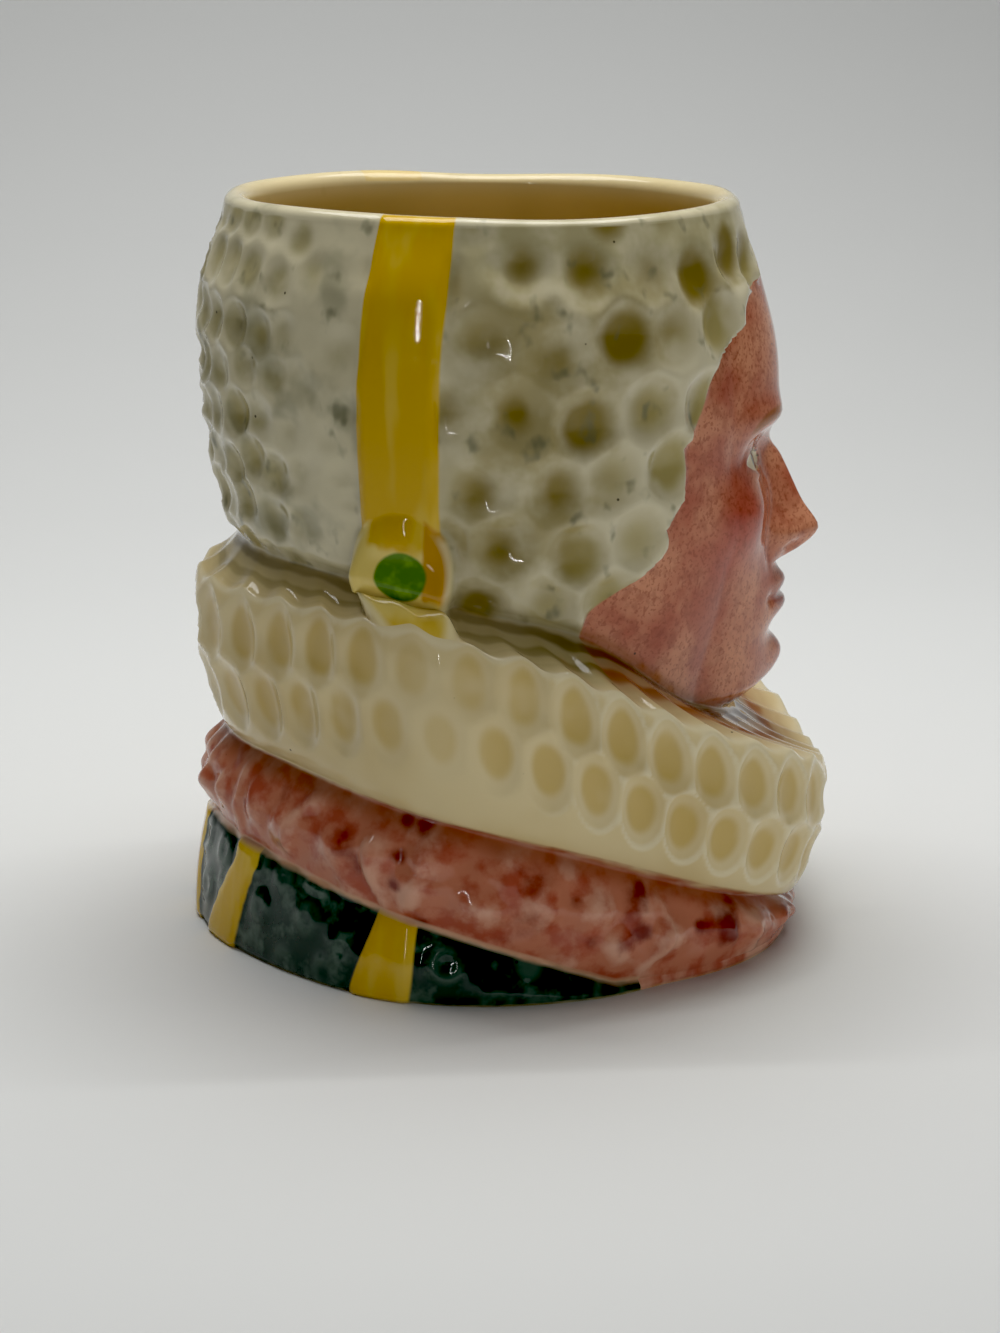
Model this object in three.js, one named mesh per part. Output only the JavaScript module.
// A small glazed earthenware character jug: a courtier's head in a curled wig and a deep pleated ruff,
// on shoulders that make the foot. It is slip-cast in one piece, hollow, open at the crown, with no handle.
//
// Millimetres, +Z up, +X out of the face. Heights are measured from the foot, and angles run round the jug
// from the face. Both faces of the wall are one grid of rows and columns, closed by a fan in the middle of
// the underside and another in the middle of the floor inside.
import * as THREE from "three";

// ------------------------------------------------------------------ driving dimensions
const HEIGHT = 64; // foot to the crest of the rim
const WALL = 2.6; // thickness that the slip builds up in the mould
const FLUTES = 36; // pleats of the ruff, all the way round
const COLUMNS = 3 * FLUTES;
const CROWDING = 0.45; // how closely the head's columns are drawn in over the face
const BUNCHING = { ends: 0.073, sides: 0.064 }; // the pleats are narrower at the sides, by angle and twice it

// Plans are ellipses: the middle along X and the two half sizes. The corners of the chest and the shoulder
// blades stand out from them a little, and the sides between draw in.
const FOOT = { middle: 0.8, halfLength: 26.75, halfWidth: 25.2, corners: 0.45 };
const RUFF = { middle: 2.15, halfLength: 27.9, halfWidth: 26.5, corners: 0.7 };
const HEAD = { middle: -1.15, halfLength: 23.75, halfWidth: 22.5, corners: 0 };

// A level that tips and bends as it goes round: mean + tilt * cos(angle) + saddle * cos(2 * angle).
const HEM = { mean: 2.3, tilt: -9, saddle: -1.35 }; // the collar's hem on the coat
const RUFF_BOTTOM = { mean: 11.7, tilt: -7.5, saddle: -1.6 };
const RUFF_TOP = { mean: 26.4, tilt: -8.5, saddle: -3 };
const NECK = { mean: 29, tilt: -7.8, saddle: -2.1 };

const FOOT_RING = { inner: 0.76, recess: 0.8, edge: 0.2 }; // share of the foot's radius, depth, rounded edge
const COAT = { tuck: 1.3, least: 0.9 };
const STRIPES = { at: [180, 158, 116], halfWidth: 1.75, flare: 0.5, raise: 0.35 }; // degrees from the face
const COLLAR = { set: -1.1, fuller: 0.5, roll: 0.9, tuck: 1.4, lump: 0.8, lumpSize: 5.2 };
const RUFF_ROUND = { under: 2.8, full: 0.72, top: 0.6 };
const FLUTE = { depth: 0.75, upper: 0.72, lower: 0.32, halfHeight: 0.23, scallop: 0.6, pleat: 0.45 };
const FLUTE_LIFT = { at: 112, reach: 45, upper: 0.1, lower: 0.18 }; // both rows ride up at the sides
// The head is widest at the belly's level, and draws in to the crown above it and to the nape below.
const BELLY = { level: 51.5, crown: 0.0163, crownBack: 0.0125, nape: 0.0095 };
const LIP = { drop: 1, thick: 2.2 }; // how far the lip's edges lie below its crest, and its thickness
const CURL = { across: 6.4, up: 5.6, reach: 3.5, stray: 0.9, depth: 1 };
const STRAP = { top: 109.5, bottom: 111.6, halfWidth: 3, raise: 0.45 }; // degrees from the face
const PENDANT = { level: 35.4, halfWidth: 4.2, halfHeight: 5.6, raise: 1.3, hang: 2.6 };
const HAIRLINE = { low: 19, high: 57.6, spread: 58, flare: 16, lobe: 3, lobeHeight: 6.5, step: 0.9 };

// The face is set out in the sculptor's thirds: hairline to brow, brow to nose and nose to chin.
const CHIN = 21.2;
const THIRD = (HAIRLINE.high - 0.8 - CHIN) / 3;
const NOSE_BASE = CHIN + THIRD;
const BROW = CHIN + 2 * THIRD;
const MOUTH = CHIN + THIRD * 0.66;
const NOSE = { root: BROW - 1.6, tip: NOSE_BASE + 1.3, reach: 4.6, bridge: 1.7, wings: 2.9 };
const FACE = { forward: 1.2, flat: 12, sideFall: 0.012, jaw: 0.035, throat: 2.8 };
const FEATURES = [
  { y: 0, z: BROW + 5, wide: 14, tall: 8, push: 0.9 }, // forehead
  { y: 6, z: BROW + 0.4, wide: 5.5, tall: 1.8, push: 0.9 }, // brows
  { y: 6.2, z: BROW - 2.8, wide: 4.4, tall: 2.8, push: -2.2 }, // eye sockets
  { y: 6.8, z: BROW - 3.2, wide: 2.8, tall: 1.9, push: 1.4 }, // eyes under their lids
  { y: 10.5, z: NOSE_BASE + 4.2, wide: 5, tall: 4, push: 1.3 }, // cheekbones
  { y: 0, z: MOUTH, wide: 7, tall: 5.2, push: 1.5 }, // muzzle
  { y: 2.9, z: NOSE_BASE + 1.3, wide: 1.9, tall: 1.7, push: 1.4 }, // wings of the nose
  { y: 0, z: MOUTH + 1.1, wide: 4.4, tall: 1.1, push: 0.8 }, // upper lip
  { y: 0, z: MOUTH - 1.2, wide: 4, tall: 1.2, push: 0.9 }, // lower lip
  { y: 0, z: MOUTH - 3.4, wide: 4.4, tall: 1.3, push: -0.7 }, // fold over the chin
  { y: 0, z: CHIN + 2, wide: 4.6, tall: 2.6, push: 1.4 }, // chin
];

// ------------------------------------------------------------------ small helpers
const mix = THREE.MathUtils.lerp;
const clamp = THREE.MathUtils.clamp;
const degrees = THREE.MathUtils.degToRad;
const ease = (low, high, value) => THREE.MathUtils.smoothstep(value, low, high);
const level = (l, angle) => l.mean + l.tilt * Math.cos(angle) + l.saddle * Math.cos(2 * angle);
const swell = (offset, reach) => Math.exp(-1.5 * (offset / reach) ** 2);

// A repeatable stray from -1 to 1 for each whole number.
function stray(n) {
  const s = Math.sin(n * 12.9898 + 78.233) * 43758.5453;
  return 2 * (s - Math.floor(s)) - 1;
}

// Degrees round from the face, 0 to 180, the same on both sides.
const fromFace = (angle) => Math.abs(THREE.MathUtils.radToDeg(Math.atan2(Math.sin(angle), Math.cos(angle))));

// The point of a plan at that angle and height, standing out by grow.
function onPlan(plan, angle, grow, z) {
  const out = grow - plan.corners * Math.cos(5 * angle);
  const x = plan.middle + (plan.halfLength + out) * Math.cos(angle);
  const y = (plan.halfWidth + out) * Math.sin(angle);
  return new THREE.Vector3(x, y, z);
}

// A field of round marks on a staggered lattice with strayed centres: 1 at a centre, 0 beyond its reach.
function marks(angle, z, radius, field) {
  const around = Math.round((2 * Math.PI * radius) / field.across);
  const nearest = Math.round(z / field.up);
  let most = 0;
  for (let row = nearest - 1; row <= nearest + 1; row++) {
    const turns = (angle / (2 * Math.PI)) * around - (Math.abs(row) % 2) / 2;
    for (let step = Math.round(turns) - 1; step <= Math.round(turns) + 1; step++) {
      const seat = (((step % around) + around) % around) + 131 * row;
      const dx = (turns - step) * field.across - field.stray * stray(seat);
      const dz = z - row * field.up - field.stray * stray(seat + 57);
      most = Math.max(most, 1 - ease(0, field.reach, Math.hypot(dx, dz)));
    }
  }
  return most;
}

// ------------------------------------------------------------------ shoulders: coat, stripes and collar
// The hem runs off the foot at the chest, where the coat keeps only its rounded edge.
const hemLevel = (angle) => Math.max(level(HEM, angle), COAT.least);

// The coat's stripes stand a little proud and flare towards the foot.
function stripe(angle, z) {
  const flare = 1 + STRIPES.flare * (1 - ease(0, 8, z));
  const off = Math.min(...STRIPES.at.map((at) => Math.abs(fromFace(angle) - at)));
  return 1 - ease(0.75, 1.15, (degrees(off) * FOOT.halfWidth) / (STRIPES.halfWidth * flare));
}

// Where the hem has run off, the collar goes down to the foot.
function coat(angle, share) {
  const z = hemLevel(angle) * share;
  const rounded = FOOT_RING.edge * (1 - ease(0, 0.5, z));
  const cloth = STRIPES.raise * stripe(angle, z) - COAT.tuck * share ** 2;
  const bare = COLLAR.set + COLLAR.fuller * Math.cos(angle);
  return onPlan(FOOT, angle, mix(bare, cloth, ease(-1.5, 1.5, level(HEM, angle))) - rounded, z);
}

function collar(angle, share) {
  const z = mix(hemLevel(angle), level(RUFF_BOTTOM, angle), share);
  const size = COLLAR.lumpSize;
  const field = { across: size, up: size * 0.8, reach: size * 0.6, stray: 1 };
  const lumps = COLLAR.lump * (marks(angle, z, FOOT.halfLength, field) - 0.4);
  const swelling = COLLAR.set + COLLAR.fuller * Math.cos(angle) + COLLAR.roll * Math.sin(Math.PI * share);
  const faded = Math.sin(Math.PI * clamp(share, 0.12, 1));
  return onPlan(FOOT, angle, swelling - COLLAR.tuck * share ** 3 + lumps * faded, z);
}

// ------------------------------------------------------------------ ruff
// How many pleats lie between the face and an angle, and the angle of a column that keeps step with them.
const bunched = (angle) => BUNCHING.ends * Math.sin(angle) - BUNCHING.sides * Math.sin(2 * angle);
const pleats = (angle) => (FLUTES * (angle + bunched(angle))) / (2 * Math.PI);
const columnAngle = (turn) => turn - bunched(turn);

// Two staggered rows of hollows leave a honeycomb of ridges between them.
function hollows(angle, share) {
  const fromLine = (at) => 2 * (at - Math.round(at));
  const lift = swell(fromFace(angle) - FLUTE_LIFT.at, FLUTE_LIFT.reach);
  const aboveUpper = share - FLUTE.upper - FLUTE_LIFT.upper * lift;
  const aboveLower = share - FLUTE.lower - FLUTE_LIFT.lower * lift;
  const upper = Math.hypot(fromLine(pleats(angle)), aboveUpper / FLUTE.halfHeight);
  const lower = Math.hypot(fromLine(pleats(angle) - 0.5), aboveLower / FLUTE.halfHeight);
  const seam = 1 - 0.8 * swell(fromFace(angle) - 108, 14); // the mould's seam leaves the sides plainer
  return FLUTE.depth * seam * (1 - ease(0, 1.05, Math.min(upper, lower)));
}

// The ridges run up between the upper hollows.
const ridge = (angle) => Math.abs(Math.sin(Math.PI * pleats(angle))) ** 1.5;

function ruffBand(angle, share) {
  const top = level(RUFF_TOP, angle) - FLUTE.scallop * ridge(angle);
  const full = Math.sin((Math.PI / 2) * Math.min(1, share / RUFF_ROUND.full)) ** 0.8;
  const rolled = RUFF_ROUND.top * Math.max(0, (share - 0.86) / 0.14) ** 2;
  const grow = RUFF_ROUND.under * (full - 1) - rolled - hollows(angle, share);
  return onPlan(RUFF, angle, grow, mix(level(RUFF_BOTTOM, angle), top, share));
}

// The top of the ruff rises from its edge to the neck in pleats, under the tips of the pendants.
function ruffTop(angle, share) {
  const point = ruffBand(angle, 1).lerp(head(angle, 0), share);
  const pendant = strap(angle, level(NECK, angle) - PENDANT.hang * (1 - share)).raise;
  point.z += (FLUTE.pleat * (0.5 - ridge(angle)) - 0.35) * Math.sin(Math.PI * share) + pendant * share;
  return point;
}

// ------------------------------------------------------------------ head
// Half the angle that the wig leaves open for the face, in degrees, with curls as lobes round it.
function faceOpening(z) {
  const up = clamp((z - HAIRLINE.low) / (HAIRLINE.high - HAIRLINE.low), 0, 1);
  const open = HAIRLINE.spread * (1 - up ** 3) ** 0.35 + HAIRLINE.flare * (1 - ease(31, 38, z));
  const lobe = Math.abs(Math.sin((Math.PI * (z - HAIRLINE.low)) / HAIRLINE.lobeHeight));
  return open - HAIRLINE.lobe * lobe * ease(30, 34, z);
}

const wig = (angle, z) => ease(-1.5, 2.5, fromFace(angle) - faceOpening(z));

// The strap hangs from the rim to a pear-shaped pendant. Both are mirrored to the other side.
function strap(angle, z) {
  const middle = mix(STRAP.bottom, STRAP.top, clamp((z - 50) / (HEIGHT - 50), 0, 1));
  const across = degrees(fromFace(angle) - middle) * HEAD.halfWidth;
  const band = (1 - ease(0.8, 1.2, Math.abs(across) / STRAP.halfWidth)) * ease(36, 38, z);
  const pear = Math.hypot(across / PENDANT.halfWidth, (z - PENDANT.level) / PENDANT.halfHeight);
  const pendant = 1 - ease(0.8, 1.1, pear);
  return { cover: Math.max(band, pendant), raise: Math.max(STRAP.raise * band, PENDANT.raise * pendant) };
}

function nose(y, z) {
  const down = (NOSE.root - z) / (NOSE.root - NOSE.tip);
  if (down <= 0) return 0;
  const under = (NOSE.tip - z) / (NOSE.tip - NOSE_BASE);
  const out = down <= 1 ? down ** 1.15 : 1 - ease(0, 1.6, under);
  return NOSE.reach * out * swell(y, mix(NOSE.bridge, NOSE.wings, Math.min(down, 1)));
}

// How far the face is pushed forward from the head's plan.
function face(y, z) {
  const side = Math.abs(y);
  const cheek = Math.min(side, FACE.flat);
  const forehead = FACE.forward * (1 - 0.9 * ease(BROW, HAIRLINE.high, z));
  const throat = FACE.throat * (1 - ease(CHIN - 2.2, CHIN + 0.8, z));
  const jaw = FACE.jaw * Math.max(0, cheek - 5) ** 2 * (1 - ease(CHIN, NOSE_BASE, z));
  const swellings = FEATURES.map((f) => f.push * swell(side - f.y, f.wide) * swell(z - f.z, f.tall));
  return swellings.reduce((sum, push) => sum + push, forehead - throat - jaw - FACE.sideFall * cheek ** 2)
    + nose(y, z);
}

// The back of the head draws in to the nape, and the crown draws in to the rim.
function barrel(angle, z) {
  const up = z - BELLY.level;
  const back = 0.5 - 0.5 * Math.cos(angle);
  return up > 0 ? -mix(BELLY.crown, BELLY.crownBack, back) * up ** 2 : -BELLY.nape * back * up ** 2;
}

function towardsFace(angle, share) {
  const front = Math.max(0, Math.cos(angle)) ** 2;
  return angle - CROWDING * Math.sin(angle) * front * ease(0, 0.2, share);
}

// Rows are closer together over the chin, mouth and nose.
function headLevel(angle, share) {
  return mix(level(NECK, angle), HEIGHT - LIP.drop, share ** (1 + 0.3 * Math.max(0, Math.cos(angle))));
}

function head(column, share) {
  const angle = towardsFace(column, share);
  const z = headLevel(angle, share);
  const hair = wig(angle, z);
  const band = strap(angle, z);
  const curls = CURL.depth * marks(angle, z, HEAD.halfLength, CURL) * hair * (1 - band.cover);
  const faded = ease(0, 0.06, share) * (1 - ease(0.96, 1, share));
  const relief = (HAIRLINE.step * hair - curls) * faded + band.raise;
  const point = onPlan(HEAD, angle, barrel(angle, z) + relief, z);
  point.x += face(point.y, z) * (1 - hair) * ease(0, 0.5, Math.cos(angle));
  return point;
}

// ------------------------------------------------------------------ rim, inside and underside
function rim(angle, share) {
  const outer = head(angle, 1);
  const inner = inside(angle, 0);
  const point = outer.clone().lerp(inner, (1 - Math.cos(Math.PI * share)) / 2);
  const middle = (outer.z + inner.z) / 2;
  point.z = mix(outer.z, inner.z, share) + (HEIGHT - middle) * Math.sin(Math.PI * share);
  return point;
}

// The inside follows the outside a wall's thickness in, as smooth rings from the lip down to the floor.
const FLOOR = 3.8;
const RINGS = [
  { plan: HEAD, inset: LIP.thick - WALL, at: () => HEIGHT - 1.3 * LIP.drop },
  { plan: HEAD, inset: 0, at: () => BELLY.level },
  { plan: HEAD, inset: 0.6, at: (angle) => level(NECK, angle) + 1 },
  { plan: RUFF, inset: 3, at: (angle) => (level(RUFF_BOTTOM, angle) + level(RUFF_TOP, angle)) / 2 },
  { plan: FOOT, inset: 2.2, at: (angle) => Math.max(level(RUFF_BOTTOM, angle) * 0.6, FLOOR + 2) },
  { plan: FOOT, inset: 5.5, at: () => FLOOR },
];

function inside(column, share) {
  const angle = towardsFace(column, 1);
  const ring = RINGS[Math.round(share * (RINGS.length - 1))];
  const z = ring.at(angle);
  const throat = ring === RINGS[2] ? FACE.throat * Math.max(0, Math.cos(angle)) : 0;
  const drawn = ring.plan === HEAD ? barrel(angle, z) : 0;
  return onPlan({ ...ring.plan, corners: 0 }, angle, drawn - throat - ring.inset - WALL, z);
}

function underside(angle, share) {
  const inner = onPlan({ ...FOOT, corners: 0 }, angle, (FOOT_RING.inner - 1) * FOOT.halfLength, 0);
  const outer = onPlan({ ...FOOT, middle: 0, corners: 0 }, angle, -FOOT.halfLength - FOOT_RING.edge, 0);
  return inner.lerp(coat(angle, 0).add(outer), share).setZ(share > 0 ? 0 : FOOT_RING.recess);
}

// ------------------------------------------------------------------ glazes
const GLAZES = {
  ivory: new THREE.Color("#d9d0b0"),
  wig: new THREE.Color("#bdbba8"),
  skin: new THREE.Color("#c98a76"),
  yellow: new THREE.Color("#d6b62a"),
  coat: new THREE.Color("#1f4a4a"),
  collar: new THREE.Color("#c77f80"),
};

const ivory = () => GLAZES.ivory;
const isStriped = (angle, share) => stripe(angle, hemLevel(angle) * share) > 0.5;
const coatGlaze = (angle, share) => (isStriped(angle, share) ? GLAZES.yellow : GLAZES.coat);
const shoulderGlaze = (angle, share) => (level(HEM, angle) > 0 ? coatGlaze(angle, share) : GLAZES.collar);

function headGlaze(column, share) {
  const angle = towardsFace(column, share);
  const z = headLevel(angle, share);
  if (strap(angle, z).cover > 0.5) return GLAZES.yellow;
  return wig(angle, z) > 0.5 ? GLAZES.wig : GLAZES.skin;
}

// ------------------------------------------------------------------ the grid
// Zones from the underside, out, up the outside, over the rim and down the inside.
const evenly = (count, from, to) => Array.from({ length: count }, (_, i) => mix(from, to, i / (count - 1)));
const ZONES = [
  { shape: underside, shares: [0, 0.04, 1], glaze: ivory },
  { shape: coat, shares: [0.12, 0.6, 0.96], glaze: shoulderGlaze },
  { shape: collar, shares: evenly(4, 0.06, 0.94), glaze: () => GLAZES.collar },
  { shape: ruffBand, shares: [0.03, 0.2, 0.38, 0.57, 0.77, 0.91, 1], glaze: ivory },
  { shape: ruffTop, shares: [0.55], glaze: ivory },
  { shape: head, shares: evenly(19, 0, 1), glaze: headGlaze },
  { shape: rim, shares: [0.2, 0.5, 0.8], glaze: () => GLAZES.wig },
  { shape: inside, shares: evenly(RINGS.length, 0, 1), glaze: ivory },
];

function jugGeometry() {
  const points = [];
  const colours = [];
  const add = (point, glaze) => {
    points.push(point.x, point.y, point.z);
    colours.push(glaze.r, glaze.g, glaze.b);
  };
  add(new THREE.Vector3(FOOT.middle, 0, FOOT_RING.recess), GLAZES.ivory);
  for (const zone of ZONES) {
    for (const share of zone.shares) {
      for (let column = 0; column < COLUMNS; column++) {
        const angle = columnAngle((2 * Math.PI * column) / COLUMNS);
        add(zone.shape(angle, share), zone.glaze(angle, share));
      }
    }
  }
  add(new THREE.Vector3(0, 0, FLOOR), GLAZES.ivory);

  const faces = [];
  const rows = (points.length / 3 - 2) / COLUMNS;
  const at = (row, column) => 1 + row * COLUMNS + (column % COLUMNS);
  for (let column = 0; column < COLUMNS; column++) {
    faces.push(0, at(0, column + 1), at(0, column));
    for (let row = 0; row + 1 < rows; row++) {
      const [a, b] = [at(row, column), at(row, column + 1)];
      const [c, d] = [at(row + 1, column + 1), at(row + 1, column)];
      faces.push(a, b, c, a, c, d);
    }
    faces.push(at(rows - 1, column), at(rows - 1, column + 1), at(rows, 0));
  }
  const geometry = new THREE.BufferGeometry();
  geometry.setAttribute("position", new THREE.Float32BufferAttribute(points, 3));
  geometry.setAttribute("color", new THREE.Float32BufferAttribute(colours, 3));
  geometry.setIndex(faces);
  geometry.computeVertexNormals();
  return geometry;
}

// ------------------------------------------------------------------ the part
const glaze = new THREE.MeshStandardMaterial({
  name: "glazed_earthenware",
  color: 0xffffff,
  vertexColors: true,
  roughness: 0.15,
  metalness: 0,
});
const jug = new THREE.Mesh(jugGeometry(), glaze);
jug.name = "jug";

// The origin is under the middle of the outline, on the surface that the jug stands on.
jug.geometry.computeBoundingBox();
const middle = jug.geometry.boundingBox.getCenter(new THREE.Vector3());
jug.position.set(-middle.x, -middle.y, 0);

const part = new THREE.Group();
part.name = "character_jug";
part.add(jug);

export default part;
